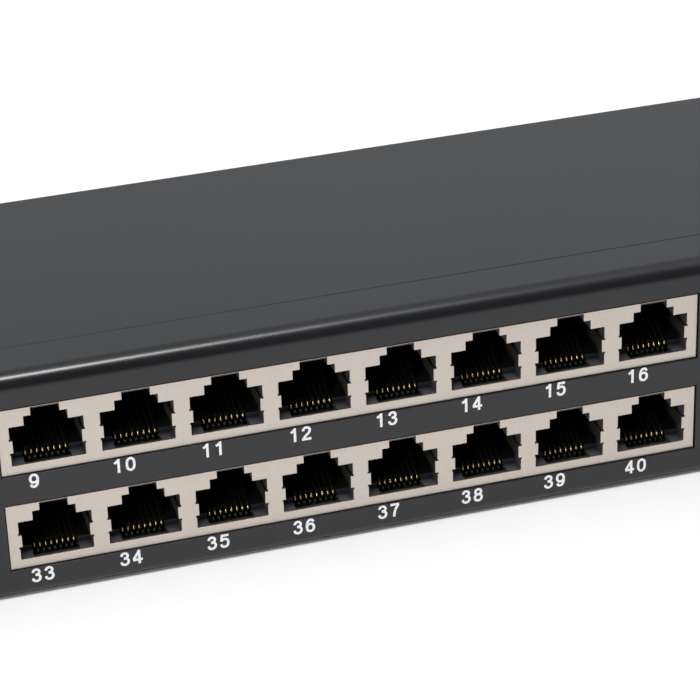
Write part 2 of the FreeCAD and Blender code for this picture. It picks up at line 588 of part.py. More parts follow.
comb_holes = new_sketch(comb, "XY_Plane")
for i in range(6):
    circle(comb_holes, f"{i - 2.5} * 76", "107.5", "1.5")
cut(comb, comb_holes, f"-{FLOOR}")
node(comb)
pan_screws("comb_screws", [(f"{i - 2.5} * 76", "107.5") for i in range(6)],
           f"({FLOOR} + tray_sheet + 1.5)", "2.5", "1.4", "2.8", "1.8")

# ---- side rivets: join the tray walls to the panel's flanges ----
for side_name, side in (("left", -1), ("right", 1)):
    rivets = new_body(f"side_rivets_{side_name}")
    for radius, near, far in (("1.5", "-4.8", "0"), ("2.6", "0", "0.8"), ("2.4", "-4", f"-3.1")):
        ring = new_sketch(rivets, "YZ_Plane")
        low = f"body_width / 2 + ({near})" if side > 0 else f"-body_width / 2 - ({far})"
        bind(ring, "AttachmentOffset.Base.z", low)
        for level in ("-12", "12"):
            circle(ring, "5.6", level, radius)
        pad(rivets, ring, f"({far}) - ({near})")
    node(rivets)

# ---- earth terminal: welded stud, washer and nut on the tray floor ----
stud = stack("earth_stud", lambda plan: circle(plan, "earth_x", "earth_y", "3"),
             f"{FLOOR} + 0.2", f"{FLOOR} + 17")
node(stud)
washer = stack("earth_washer", lambda plan: [circle(plan, "earth_x", "earth_y", "6.2"),
                                             circle(plan, "earth_x", "earth_y", "3.3")],
               f"{FLOOR} + tray_sheet", f"{FLOOR} + tray_sheet + 1.6")
node(washer)
nut = stack("earth_nut", lambda plan: [hexagon(plan, "earth_x", "earth_y", "10"),
                                       circle(plan, "earth_x", "earth_y", "3.06")],
            f"{FLOOR} + tray_sheet + 1.9", f"{FLOOR} + tray_sheet + 6.9")
node(nut)

# ---- check every object, then write one file per sub-part ----
doc.recompute()
for thing in doc.Objects:
    if "Invalid" in thing.State or "Error" in thing.State:
        raise RuntimeError(f"{thing.Label} failed: {thing.State}")
os.makedirs("parts", exist_ok=True)
for thing in nodes:
    if thing.Shape.isNull() or not thing.Shape.isValid() or not thing.Shape.Solids:
        raise RuntimeError(f"{thing.Label} has no valid solid")
    thing.Shape.exportStep(f"parts/{thing.Label}.step")
    print(thing.Label, len(thing.Shape.Solids), round(thing.Shape.Volume / 1000, 2), "cm3")
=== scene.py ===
import math

import bmesh
import bpy
from mathutils import Euler, Matrix, Vector


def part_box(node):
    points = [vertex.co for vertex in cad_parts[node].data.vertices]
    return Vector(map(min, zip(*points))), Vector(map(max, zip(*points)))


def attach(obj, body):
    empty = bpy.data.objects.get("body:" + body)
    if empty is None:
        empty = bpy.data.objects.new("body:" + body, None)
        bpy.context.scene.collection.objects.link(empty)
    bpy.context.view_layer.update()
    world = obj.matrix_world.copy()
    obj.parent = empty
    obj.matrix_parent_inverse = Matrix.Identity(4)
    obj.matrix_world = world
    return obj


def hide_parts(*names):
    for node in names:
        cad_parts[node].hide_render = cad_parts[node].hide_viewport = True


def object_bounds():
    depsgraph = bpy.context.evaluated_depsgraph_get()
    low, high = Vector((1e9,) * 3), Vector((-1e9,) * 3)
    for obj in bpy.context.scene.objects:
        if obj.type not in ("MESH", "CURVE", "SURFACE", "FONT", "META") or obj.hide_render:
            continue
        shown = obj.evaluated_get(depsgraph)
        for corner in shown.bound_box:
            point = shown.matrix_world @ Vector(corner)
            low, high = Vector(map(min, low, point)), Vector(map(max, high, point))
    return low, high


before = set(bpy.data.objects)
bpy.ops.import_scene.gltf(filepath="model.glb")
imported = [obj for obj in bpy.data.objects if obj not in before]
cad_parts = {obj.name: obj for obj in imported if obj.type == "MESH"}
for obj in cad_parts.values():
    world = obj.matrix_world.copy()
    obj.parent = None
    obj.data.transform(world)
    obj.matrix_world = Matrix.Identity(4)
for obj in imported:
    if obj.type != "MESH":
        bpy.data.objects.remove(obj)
cad_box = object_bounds()
MM = 0.001

# ---- View ----
# A long lens a little above and to the left of the middle group of sockets,
# so that the lid, the front and the insides of the sockets all show.
camera_data = bpy.data.cameras.new("view")
camera_data.lens = 149.3
camera_data.sensor_width = 36.0
camera_data.clip_start = 0.02
camera = bpy.data.objects.new("view", camera_data)
camera.location = Vector((-119.9, -428.3, 261.3)) * MM
camera.rotation_euler = Euler([math.radians(a) for a in (61.04, 1.655, -16.436)])
bpy.context.scene.collection.objects.link(camera)
bpy.context.scene.camera = camera


# ---- Studio ----
# A table of white paper, greyed toward the front by painted shade, under one soft box overhead and a
# little forward, with a weak fill from the left, in a room pale behind the part and dark in front.
def linear(code):
    """Linear colour from an sRGB hex code."""
    parts = [int(code[i:i + 2], 16) / 255 for i in (0, 2, 4)]
    return [p / 12.92 if p <= 0.04045 else ((p + 0.055) / 1.055) ** 2.4 for p in parts] + [1.0]


def add(tree, kind, settings=None, links=None):
    """One shader node: settings are its properties or input values, links its incoming sockets."""
    made = tree.nodes.new(kind)
    for key, value in (settings or {}).items():
        if isinstance(key, int) or key in made.inputs:
            made.inputs[key].default_value = value
        else:
            setattr(made, key, value)
    for key, source in (links or {}).items():
        tree.links.new(source, made.inputs[key])
    return made


def ramp(tree, source, stops):
    """Colour ramp through (position, hex code) stops."""
    made = add(tree, "ShaderNodeValToRGB", None, {"Fac": source})
    elements = made.color_ramp.elements
    while len(elements) < len(stops):
        elements.new(0.5)
    for element, (position, code) in zip(elements, stops):
        element.position = position
        element.color = linear(code)
    return made.outputs[0]


def soft_box(name, place, size, watts):
    """A rectangular lamp, sizes and place in metres, that faces the origin."""
    data = bpy.data.lights.new(name, "AREA")
    data.shape = "RECTANGLE"
    data.size, data.size_y = size
    data.energy = watts
    lamp = bpy.data.objects.new(name, data)
    lamp.location = Vector(place)
    lamp.rotation_euler = Vector(place).to_track_quat("Z", "Y").to_euler()
    bpy.context.scene.collection.objects.link(lamp)


def toward(tree, source, direction):
    """How far a vector reaches along a direction."""
    product = add(tree, "ShaderNodeVectorMath", {"operation": "DOT_PRODUCT", 1: direction}, {0: source})
    return product.outputs["Value"]


soft_box("overhead_box", (-0.04, -0.34, 1.35), (0.5, 0.3), 13.0)
soft_box("left_fill", (-1.3, -0.9, 0.6), (0.8, 0.6), 9.0)

# The room is shaded by how far a direction points up and to the back.
UP_AND_BACK = (0.0, 0.8, 0.6)
room = bpy.data.worlds.new("room")
room.use_nodes = True
heading = add(room.node_tree, "ShaderNodeTexCoord").outputs["Generated"]
depth = add(room.node_tree, "ShaderNodeMapRange", {"From Min": -1.0},
            {"Value": toward(room.node_tree, heading, UP_AND_BACK)})
walls = ramp(room.node_tree, depth.outputs[0], [(0.0, "3c3d3f"), (0.42, "4e4f51"), (0.66, "b4b5b7"),
                                                (0.8, "f4f5f6"), (0.92, "d6d8d9")])
room.node_tree.links.new(walls, room.node_tree.nodes["Background"].inputs["Color"])
bpy.context.scene.world = room
bpy.context.scene.view_settings.view_transform = "Standard"

# Painted shade: the paper's colour darkens from near the part's front toward the viewer and a little
# to the right; all in metres.
FLOOR_SIZE, FLOOR_GAP = 6.0, 0.0002
FADE_DIRECTION, FADE_START, FADE_END, FADE_DARKEST = (0.35, -1.0, 0.0), 0.02, 0.32, 0.55
bm = bmesh.new()
bmesh.ops.create_grid(bm, x_segments=1, y_segments=1, size=FLOOR_SIZE / 2,
                      matrix=Matrix.Translation((0, 0, cad_box[0][2] - FLOOR_GAP)))
table_mesh = bpy.data.meshes.new("table_top")
bm.to_mesh(table_mesh)
bm.free()
table = bpy.data.objects.new("table_top", table_mesh)
bpy.context.scene.collection.objects.link(table)
paper = bpy.data.materials.new("matt_white_paper")
paper.use_nodes = True
paper_shader = paper.node_tree.nodes["Principled BSDF"]
grain = add(paper.node_tree, "ShaderNodeTexNoise", {"Scale": 900.0, "Detail": 4.0})
tone = add(paper.node_tree, "ShaderNodeMapRange", {"To Min": 0.93, "To Max": 0.96},
           {"Value": grain.outputs[0]})
place = add(paper.node_tree, "ShaderNodeTexCoord").outputs["Object"]
# Painted shade on the paper: a darker colour toward the viewer and to the right.
painted_floor_shade = add(paper.node_tree, "ShaderNodeMapRange",
           {"interpolation_type": "SMOOTHSTEP", "From Min": FADE_START, "From Max": FADE_END, "To Min": 1.0,
            "To Max": FADE_DARKEST}, {"Value": toward(paper.node_tree, place, FADE_DIRECTION)})
shown = add(paper.node_tree, "ShaderNodeMath", {"operation": "MULTIPLY"},
            {0: tone.outputs[0], 1: painted_floor_shade.outputs[0]})
paper.node_tree.links.new(shown.outputs[0], paper_shader.inputs["Base Color"])
paper_shader.inputs["Roughness"].default_value = 0.9
table_mesh.materials.append(paper)

# ---- Front panel, lid and their black coat ----
# Folded mild steel, 1.5 mm thick and 1.2 mm for the tray, coated satin black: a close, slightly
# pebbled film with faint lengthwise draw lines from the sheet showing through.


def material(name):
    """A new material with its node tree, its shader and its Object coordinates."""
    made = bpy.data.materials.new(name)
    made.use_nodes = True
    place = add(made.node_tree, "ShaderNodeTexCoord").outputs["Object"]
    return made, made.node_tree, made.node_tree.nodes["Principled BSDF"], place


def noise(tree, place, scale, detail, roughness=0.5):
    """A cloudy pattern, its scale in spots to the metre."""
    return add(tree, "ShaderNodeTexNoise", {"Scale": scale, "Detail": detail, "Roughness": roughness},
               {"Vector": place}).outputs[0]


def stretched(tree, place, scale):
    """Coordinates for a pattern drawn out along the axis of the smallest scale."""
    return add(tree, "ShaderNodeMapping", {"Scale": scale}, {"Vector": place}).outputs[0]


def coloured(tree, shader, pattern, stops):
    """Colours a surface by a pattern."""
    tree.links.new(ramp(tree, pattern, stops), shader.inputs["Base Color"])


def blended(tree, factor, first, second):
    """A mix of two colours, each a hex code or the output of a node."""
    ends = {"A": first, "B": second}
    codes = {key: linear(end) for key, end in ends.items() if isinstance(end, str)}
    wired = {key: end for key, end in ends.items() if not isinstance(end, str)}
    mix = add(tree, "ShaderNodeMix", {"data_type": "RGBA", **codes}, {"Factor": factor, **wired})
    return mix.outputs["Result"]


def roughened(tree, shader, pattern, low, high):
    """Lets the roughness vary between two values with a pattern."""
    spread = add(tree, "ShaderNodeMapRange", {"To Min": low, "To Max": high}, {"Value": pattern})
    tree.links.new(spread.outputs[0], shader.inputs["Roughness"])


def embossed(tree, shader, pattern, strength, height):
    """Raises a surface by a pattern, its height in millimetres."""
    bump = add(tree, "ShaderNodeBump", {"Strength": strength, "Distance": height * MM}, {"Height": pattern})
    tree.links.new(bump.outputs[0], shader.inputs["Normal"])


black_coat, tree, shader, place = material("satin_black_paint_on_steel")
pebble = noise(tree, place, 2200.0, 3.0, 0.55)
cloud = noise(tree, place, 22.0, 3.0)
along = stretched(tree, place, (14.0, 900.0, 900.0))
streak = noise(tree, along, 1.0, 2.0)
mixed = add(tree, "ShaderNodeMath", {"operation": "MULTIPLY_ADD", 1: 0.35}, {0: streak, 2: cloud})
coloured(tree, shader, mixed.outputs[0], [(0.4, "17181a"), (0.95, "1d1e21")])
roughened(tree, shader, mixed.outputs[0], 0.2, 0.28)
embossed(tree, shader, pebble, 0.12, 0.03)


MERGE, FLAT_ANGLE, SHARP_ANGLE = 0.002, 1.0, 30.0


def edged(name, body, width, finish, segments=2):
    """A CAD part's shape with its sharp edges broken by a small radius in millimetres."""
    made = bmesh.new()
    made.from_mesh(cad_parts[name].data)
    bmesh.ops.remove_doubles(made, verts=made.verts, dist=MERGE * MM)
    bmesh.ops.dissolve_limit(made, angle_limit=math.radians(FLAT_ANGLE), verts=made.verts, edges=made.edges)
    sharp = [e for e in made.edges if e.is_manifold and e.calc_face_angle(0.0) > math.radians(SHARP_ANGLE)]
    bmesh.ops.bevel(made, geom=sharp, offset=width * MM, segments=segments, profile=0.5, affect="EDGES",
                    material=-1, clamp_overlap=True)
    mesh = bpy.data.meshes.new(name + "_finished")
    made.to_mesh(mesh)
    # a corner takes its direction from the largest faces round it, so flat faces stay flat
    weighted = [sum((f.normal * f.calc_area() for f in v.link_faces), Vector()).normalized()
                for v in made.verts]
    made.free()
    mesh.shade_smooth()
    mesh.normals_split_custom_set_from_vertices(weighted)
    piece = bpy.data.objects.new(name + "_finished", mesh)
    bpy.context.scene.collection.objects.link(piece)
    mesh.materials.append(finish)
    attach(piece, body)
    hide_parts(name)
    return piece


panel = edged("front_panel", "chassis", 0.2, black_coat)
tray = edged("base_tray", "chassis", 0.15, black_coat)
lid = edged("top_lid", "lid", 0.15, black_coat)

# ---- Port numbers ----
# White epoxy ink, screen-printed on the bands under the sockets, one number to a port,
# set a little to the left of the port's middle. The ink film is about 0.03 mm thick, and a hair
# thicker where a later stroke of a digit crosses an earlier one.
ROWS = {"upper": 4.32, "lower": -14.73}
NUMBER_DROP = {"upper": 3.21, "lower": 3.37}
GROUPS = {"left": -139.7, "middle": 0.0, "right": 139.7}
PORT_PITCH, PORTS = 15.875, 8
FRONT_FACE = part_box("front_panel")[0][1] / MM
NUMBER_SHIFT, INK_FILM, FILM_STEP = -3.05, 0.03, 0.004
FIRST_NUMBER = {"upper": 1, "lower": 25}


def port_x(group, index):
    """Middle of a port in millimetres."""
    return GROUPS[group] + (index - (PORTS - 1) / 2) * PORT_PITCH


white_ink, tree, shader, place = material("white_screen_printing_ink")
speck = noise(tree, place, 3500.0, 2.0)
coloured(tree, shader, speck, [(0.25, "d9dcdf"), (0.5, "fbfcfd")])
shader.inputs["Roughness"].default_value = 0.5

# Middle lines of the strokes in millimetres from the middle of a digit: a bend is a smooth
# line through its points, and a bar is straight.
STROKE, ADVANCE, SPAN_STEPS = 0.46, 2.32, 6
DIGITS = {
    "0": [("loop", [(0, 1.17), (0.52, 0.82), (0.65, 0), (0.52, -0.82), (0, -1.17), (-0.52, -0.82),
                    (-0.65, 0), (-0.52, 0.82)])],
    "1": [("bar", [(0.2, 1.385), (0.2, -1.385)]),
          ("bend", [(0.2, 1.2), (-0.08, 0.86), (-0.55, 0.58)])],
    "2": [("bend", [(-0.62, 0.52), (-0.48, 0.98), (0, 1.18), (0.48, 0.98), (0.6, 0.55), (0.38, 0.02),
                    (-0.25, -0.6), (-0.66, -1.17)]),
          ("bar", [(-0.87, -1.17), (0.84, -1.17)])],
    "3": [("bend", [(-0.6, 0.62), (-0.4, 1.04), (0.02, 1.18), (0.42, 1.0), (0.54, 0.62), (0.36, 0.26),
                    (-0.14, 0.12)]),
          ("bend", [(-0.14, 0.12), (0.44, -0.02), (0.66, -0.5), (0.46, -1.0), (0, -1.18), (-0.46, -1.0),
                    (-0.66, -0.55)])],
    "4": [("bar", [(0.3, 1.385), (0.3, -1.385)]),
          ("bar", [(0.3, 1.28), (-0.74, -0.46)]),
          ("bar", [(-0.86, -0.56), (0.88, -0.56)])],
    "5": [("bar", [(0.74, 1.17), (-0.5, 1.17)]),
          ("bar", [(-0.42, 1.36), (-0.6, 0.0)]),
          ("bend", [(-0.58, 0.06), (-0.3, 0.34), (0.08, 0.42), (0.5, 0.22), (0.66, -0.34), (0.48, -0.96),
                    (0, -1.18), (-0.46, -1.02), (-0.66, -0.6)])],
    "6": [("loop", [(0, 0.34), (0.46, 0.14), (0.64, -0.4), (0.46, -0.98), (0, -1.18), (-0.46, -0.98),
                    (-0.64, -0.4), (-0.46, 0.14)]),
          ("bend", [(0.56, 0.68), (0.4, 1.06), (0.04, 1.18), (-0.38, 0.98), (-0.6, 0.4),
                    (-0.65, -0.3)])],
    "7": [("bar", [(-0.8, 1.17), (0.8, 1.17)]),
          ("bend", [(0.66, 1.1), (0.26, 0.4), (-0.04, -0.4), (-0.16, -1.385)])],
    "8": [("loop", [(0, 1.18), (0.42, 1.0), (0.54, 0.64), (0.4, 0.26), (0, 0.12), (-0.4, 0.26),
                    (-0.54, 0.64), (-0.42, 1.0)]),
          ("loop", [(0, 0.12), (0.48, -0.08), (0.66, -0.54), (0.48, -1.0), (0, -1.18), (-0.48, -1.0),
                    (-0.66, -0.54), (-0.48, -0.08)])]}
DIGITS["9"] = [(kind, [(-u, -v) for u, v in points]) for kind, points in DIGITS["6"]]


def smooth_line(points, closed):
    """Points along a Catmull-Rom curve through the given ones."""
    count = len(points)
    line = []
    for i in range(count if closed else count - 1):
        four = [(i + k) % count if closed else min(max(i + k, 0), count - 1) for k in (-1, 0, 1, 2)]
        p0, p1, p2, p3 = (Vector(points[k]) for k in four)
        for step in range(SPAN_STEPS):
            t = step / SPAN_STEPS
            line.append(0.5 * (2 * p1 + (p2 - p0) * t + (2 * p0 - 5 * p1 + 4 * p2 - p3) * t * t
                               + (3 * p1 - p0 - 3 * p2 + p3) * t * t * t))
    return line if closed else line + [Vector(points[-1])]


def ink_stroke(made, kind, points, centre_x, centre_z, film):
    """One printed stroke, a flat ribbon of ink on the panel's front face."""
    closed = kind == "loop"
    line = [Vector(p) for p in points] if kind == "bar" else smooth_line(points, closed)
    count = len(line)
    rails = []
    for i, point in enumerate(line):
        before = line[i - 1] if closed or i else point
        after = line[(i + 1) % count] if closed or i < count - 1 else point
        across = (after - before).normalized().orthogonal() * STROKE / 2
        rails.append([made.verts.new((centre_x + edge.x, y, centre_z + edge.y))
                      for y in (FRONT_FACE - film, FRONT_FACE) for edge in (point + across, point - across)])
    spans = range(count) if closed else range(count - 1)
    for i in spans:
        a, b = rails[i], rails[(i + 1) % count]
        for corners in ((a[0], a[1], b[1], b[0]), (a[0], b[0], b[2], a[2]), (a[1], a[3], b[3], b[1]),
                        (a[2], b[2], b[3], a[3])):
            made.faces.new(corners)
    if not closed:
        for end in (rails[0], rails[-1]):
            made.faces.new((end[0], end[2], end[3], end[1]))


numbers = bmesh.new()
for row, group, index in [(r, g, i) for r in ROWS for g in GROUPS for i in range(PORTS)]:
    text = str(FIRST_NUMBER[row] + list(GROUPS).index(group) * PORTS + index)
    for spot, digit in enumerate(text):
        shift = (spot - (len(text) - 1) / 2) * ADVANCE
        for layer, (kind, points) in enumerate(DIGITS[digit]):
            ink_stroke(numbers, kind, points, port_x(group, index) + NUMBER_SHIFT + shift,
                       ROWS[row] - NUMBER_DROP[row], INK_FILM + FILM_STEP * layer)
bmesh.ops.recalc_face_normals(numbers, faces=numbers.faces)
bmesh.ops.scale(numbers, verts=numbers.verts, vec=(MM, MM, MM))


def finished(name, made, body, finish, smooth=None):
    """Turns a bmesh into a piece that rides on a body."""
    mesh = bpy.data.meshes.new(name)
    made.to_mesh(mesh)
    made.free()
    if smooth:
        mesh.shade_smooth()
        mesh.set_sharp_from_angle(angle=math.radians(smooth))
    piece = bpy.data.objects.new(name, mesh)
    bpy.context.scene.collection.objects.link(piece)
    mesh.materials.append(finish)
    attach(piece, body)
    return piece


finished("port_numbers", numbers, "chassis", white_ink)

# ---- Socket shields ----
# One strip of nickel-plated spring bronze per row of a group, stamped and folded. The plating
# is a warm grey satin with a few fine pits; the sheared edges show the bare bronze, the top fold
# is coloured the same tan, and the spring tabs inside the sockets are a darker olive grey.
nickel, tree, shader, place = material("satin_nickel_plate")
cloud = noise(tree, place, 160.0, 5.0, 0.6)
drawn = stretched(tree, place, (60.0, 2600.0, 2600.0))
rolled = noise(tree, drawn, 1.0, 3.0)
pit = add(tree, "ShaderNodeTexVoronoi", {"Scale": 620.0}, {"Vector": place})
pit_spot = add(tree, "ShaderNodeMapRange", {"From Min": 0.05, "From Max": 0.16},
               {"Value": pit.outputs["Distance"]})
fleck = noise(tree, place, 2600.0, 2.0)
fleck_spot = add(tree, "ShaderNodeMapRange", {"From Min": 0.3, "From Max": 0.42, "To Min": 0.86},
                 {"Value": fleck})
clean = blended(tree, cloud, "c6bcb2", "d6cdc4")
tree.links.new(blended(tree, fleck_spot.outputs[0], "8f857b", clean), shader.inputs["Base Color"])
shader.inputs["Metallic"].default_value = 1.0
roughened(tree, shader, cloud, 0.34, 0.52)
relief = add(tree, "ShaderNodeMath", {"operation": "MULTIPLY_ADD", 1: 0.5},
             {0: rolled, 2: pit_spot.outputs[0]})
embossed(tree, shader, relief.outputs[0], 0.25, 0.02)

# Tan bronze, on the sheared edges and also on the upward faces of the top fold.
bronze_and_tan_line, tree, shader, place = material("bronze_edges_and_tan_top_line")
torn = noise(tree, place, 2400.0, 2.0)
tree.links.new(blended(tree, torn, "b8743a", "dfa468"), shader.inputs["Base Color"])
shader.inputs["Metallic"].default_value = 1.0
shader.inputs["Roughness"].default_value = 0.5

# A darker olive grey for the spring tabs inside the sockets.
darker_tab_nickel, tree, shader, place = material("darker_nickel_inside_the_sockets")
tone_noise = noise(tree, place, 500.0, 3.0)
coloured(tree, shader, tone_noise, [(0.3, "6c6a60"), (0.7, "7e7a6d")])
shader.inputs["Metallic"].default_value = 1.0
shader.inputs["Roughness"].default_value = 0.5

SHIELD_FACE, SHIELD_SHEET, SHIELD_HIGH = -1.05, 0.3, 11.2
TAB_DEPTHS, TAB_HEIGHTS = (0.4, 6.2), (2.4, 5.2)
EDGE_MARGIN, FOLD_MARGIN = 0.01, 0.1
for row in ROWS:
    for group in GROUPS:
        strip = edged(f"jack_shield_{row}_{group}", "chassis", 0.05, nickel, segments=1)
        strip.data.materials.append(bronze_and_tan_line)
        strip.data.materials.append(darker_tab_nickel)
        for face in strip.data.polygons:
            depth, height = face.center.y / MM, face.center.z / MM - ROWS[row]
            sheared = depth < SHIELD_FACE + SHIELD_SHEET - EDGE_MARGIN and abs(face.normal.y) < 0.5
            # The upward faces along the top fold are coloured tan as well, giving the thin tan line along
            # each strip's top.
            folded = height > SHIELD_HIGH - FOLD_MARGIN and depth < 0 and face.normal.z > 0.5
            if sheared or folded:
                face.material_index = 1
            elif TAB_DEPTHS[0] < depth < TAB_DEPTHS[1] and TAB_HEIGHTS[0] < height < TAB_HEIGHTS[1]:
                face.material_index = 2

# ---- Socket housings ----
# Glass-filled black PBT, injection moulded: dark, slightly satin walls with a fine spark-eroded
# texture, painted lighter grey round the mouth where light reaches and painted shade deeper in,
# and edges broken by about a tenth of a millimetre.
black_pbt, tree, shader, place = material("black_moulded_pbt")
spark = noise(tree, place, 4200.0, 2.0)
flow = noise(tree, place, 120.0, 2.0)
inward = add(tree, "ShaderNodeSeparateXYZ", None, {0: place}).outputs["Y"]
# Painted light and shade: a lighter grey at the socket's mouth turning to near black deeper in, by depth.
painted_shade_inward = add(tree, "ShaderNodeMapRange", {"interpolation_type": "SMOOTHSTEP", "From Min": 1.2 * MM,
                                             "From Max": 2.4 * MM}, {"Value": inward})
front = ramp(tree, flow, [(0.3, "3f4145"), (0.7, "494b4f")])
deep = ramp(tree, flow, [(0.3, "1c1d1f"), (0.7, "242527")])
tree.links.new(blended(tree, painted_shade_inward.outputs[0], front, deep), shader.inputs["Base Color"])
roughened(tree, shader, flow, 0.3, 0.42)
embossed(tree, shader, spark, 0.15, 0.02)
for row in ROWS:
    for group in GROUPS:
        edged(f"jack_housings_{row}_{group}", "chassis", 0.12, black_pbt, segments=1)

# ---- Contact carriers ----
# The black nylon insert of each socket: a ramp that rises to the back, with ribs that keep the
# eight wires apart, short teeth in front of the wires, and a slotted block behind.
black_nylon, tree, shader, place = material("black_nylon_insert")
flow = noise(tree, place, 500.0, 3.0)
coloured(tree, shader, flow, [(0.3, "0c0d0e"), (0.7, "131416")])
roughened(tree, shader, flow, 0.4, 0.55)

CONTACT_PITCH, CONTACTS = 1.016, 8
RIB_THICK, RAMP_HALF, BLOCK_HALF = 0.34, 4.0, 4.3
RAMP_FRONT, RAMP_BACK, RAMP_FOOT, RAMP_RISE = 3.1, 14.2, -1.65, 0.414
INSERT_TOP, REAR_BLOCK_FRONT, REAR_BLOCK_BACK = 8.4, 16.0, 19.6
SLOPE_START_Y, SLOPE_START_Z = 2.51, 0.62


def of_kind(geometry, kind):
    """The vertices or faces among mixed pieces of a mesh."""
    return [g for g in geometry if isinstance(g, kind)]


def prism(made, outline, left, right, centre_x):
    """A YZ outline in millimetres, raised along X from left to right of a centre."""
    face = made.faces.new([made.verts.new((centre_x + left, y, z)) for y, z in outline])
    raised = bmesh.ops.extrude_face_region(made, geom=[face])["geom"]
    bmesh.ops.translate(made, verts=of_kind(raised, bmesh.types.BMVert), vec=(right - left, 0, 0))


def slab(made, x, y, z):
    """A box between low and high places in millimetres."""
    prism(made, [(y[0], z[0]), (y[1], z[0]), (y[1], z[1]), (y[0], z[1])], x[0], x[1], 0)


def ramp_height(y):
    """Height of the wires' slope at a depth."""
    return SLOPE_START_Z + (y - SLOPE_START_Y) * RAMP_RISE


def in_metres(made, rise=0.0):
    """Lifts a set of shapes to its row, turns its faces outward and sets it to metres."""
    bmesh.ops.translate(made, verts=made.verts, vec=(0, 0, rise))
    bmesh.ops.recalc_face_normals(made, faces=made.faces)
    bmesh.ops.scale(made, verts=made.verts, vec=(MM, MM, MM))
    return made


# Side outlines in Y and Z: the ramp, a rib on it, a tooth in front of the wires, a rib behind the
# ramp and the block at the back.
RAMP = [(RAMP_FRONT, RAMP_FOOT), (RAMP_FRONT, -0.1), (RAMP_FRONT + 0.6, 0.1),
        (RAMP_BACK, ramp_height(RAMP_BACK) - 0.9), (RAMP_BACK, RAMP_FOOT)]
RAMP_RIB = [(3.3, -0.6), (3.3, 0.55), (3.7, 0.95), (RAMP_BACK, ramp_height(RAMP_BACK) + 0.35),
            (RAMP_BACK, 2.0), (4.0, -0.6)]
TOOTH = [(1.5, -0.9), (1.5, -0.35), (1.7, -0.15), (2.35, -0.15), (2.35, -0.9)]
REAR_RIB = [(RAMP_BACK + 0.05, RAMP_FOOT), (RAMP_BACK + 0.05, INSERT_TOP), (REAR_BLOCK_FRONT, INSERT_TOP),
            (REAR_BLOCK_FRONT, RAMP_FOOT)]
REAR_BLOCK = [(REAR_BLOCK_FRONT, RAMP_FOOT), (REAR_BLOCK_FRONT, INSERT_TOP), (REAR_BLOCK_BACK, INSERT_TOP),
              (REAR_BLOCK_BACK, RAMP_FOOT)]
for row in ROWS:
    for group in GROUPS:
        carriers = bmesh.new()
        for index in range(PORTS):
            middle = port_x(group, index)
            prism(carriers, RAMP, -RAMP_HALF, RAMP_HALF, middle)
            for rib in range(CONTACTS + 1):
                shift = (rib - CONTACTS / 2) * CONTACT_PITCH
                for outline in (RAMP_RIB, TOOTH, REAR_RIB):
                    prism(carriers, outline, shift - RIB_THICK / 2, shift + RIB_THICK / 2, middle)
            prism(carriers, REAR_BLOCK, -BLOCK_HALF, BLOCK_HALF, middle)
        inserts = finished(f"contact_ramps_{row}_{group}", in_metres(carriers, ROWS[row]), "chassis",
                           black_nylon)
        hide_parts(f"contact_carriers_{row}_{group}")

# ---- Socket contacts ----
# Round phosphor-bronze wire, 0.38 mm thick: it runs forward under the ramp, turns over a small
# nose and rises to the back. Gold is plated on the nose only; the rest is nickel, painted near
# black as shade inside the socket.
gold, tree, shader, place = material("hard_gold_plate")
wear = noise(tree, place, 1500.0, 3.0)
coloured(tree, shader, wear, [(0.3, "f6d57e"), (0.7, "ffebb0")])
shader.inputs["Metallic"].default_value = 1.0
roughened(tree, shader, wear, 0.2, 0.32)

# Nickel painted near black: painted shade for the wire inside the socket.
nickel_painted_as_shade, tree, shader, place = material("nickel_underplate_painted_dark_as_shade")
tone_noise = noise(tree, place, 700.0, 3.0)
coloured(tree, shader, tone_noise, [(0.3, "1b1917"), (0.7, "272421")])
shader.inputs["Metallic"].default_value = 0.6
shader.inputs["Roughness"].default_value = 0.7

WIRE_RADIUS, WIRE_SIDES = 0.19, 8
NOSE_Y, NOSE_Z, NOSE_RADIUS, GOLD_REAR, GOLD_LOW = 2.75, 0.15, 0.62, 3.2, 0.3
PIN_END, PIN_BEND_Y, PIN_BEND_RADIUS, RISE_RUNS = -4.9, 17.0, 0.5, (0.5, 12.1)
RISE_ANGLE = math.atan(RAMP_RISE)


def extruded(made, geometry, move):
    """Extends the last section of a wire in a straight run, and gives the new end section."""
    raised = bmesh.ops.extrude_face_region(made, geom=geometry)["geom"]
    bmesh.ops.translate(made, verts=of_kind(raised, bmesh.types.BMVert), vec=move)
    bmesh.ops.delete(made, geom=[f for f in geometry if f.is_valid], context="FACES_ONLY")
    return of_kind(raised, bmesh.types.BMFace)


def bent(made, geometry, centre, angle, steps):
    """Extends the last section of a wire round a bend about an axis along X."""
    turned = bmesh.ops.spin(made, geom=geometry, cent=centre, axis=(1, 0, 0), angle=angle, steps=steps)
    bmesh.ops.delete(made, geom=[f for f in geometry if f.is_valid], context="FACES_ONLY")
    return of_kind(turned["geom_last"], bmesh.types.BMFace)


one_wire = bmesh.new()
low_run = NOSE_Z - NOSE_RADIUS
corners = [math.tau * (k + 0.5) / WIRE_SIDES for k in range(WIRE_SIDES)]
pin_y = PIN_BEND_Y + PIN_BEND_RADIUS
section = [(WIRE_RADIUS * math.cos(a), pin_y + WIRE_RADIUS * math.sin(a), PIN_END) for a in corners]
end = [one_wire.faces.new([one_wire.verts.new(corner) for corner in section])]
end = extruded(one_wire, end, (0, 0, low_run - PIN_BEND_RADIUS - PIN_END))
end = bent(one_wire, end, (0, PIN_BEND_Y, low_run - PIN_BEND_RADIUS), math.radians(90), 4)
end = extruded(one_wire, end, (0, NOSE_Y - PIN_BEND_Y, 0))
end = bent(one_wire, end, (0, NOSE_Y, NOSE_Z), -(math.pi - RISE_ANGLE), 10)
for run in RISE_RUNS:
    end = extruded(one_wire, end, (0, run, run * RAMP_RISE))
bmesh.ops.recalc_face_normals(one_wire, faces=one_wire.faces)
wire_mesh = bpy.data.meshes.new("wire")
one_wire.to_mesh(wire_mesh)
one_wire.free()
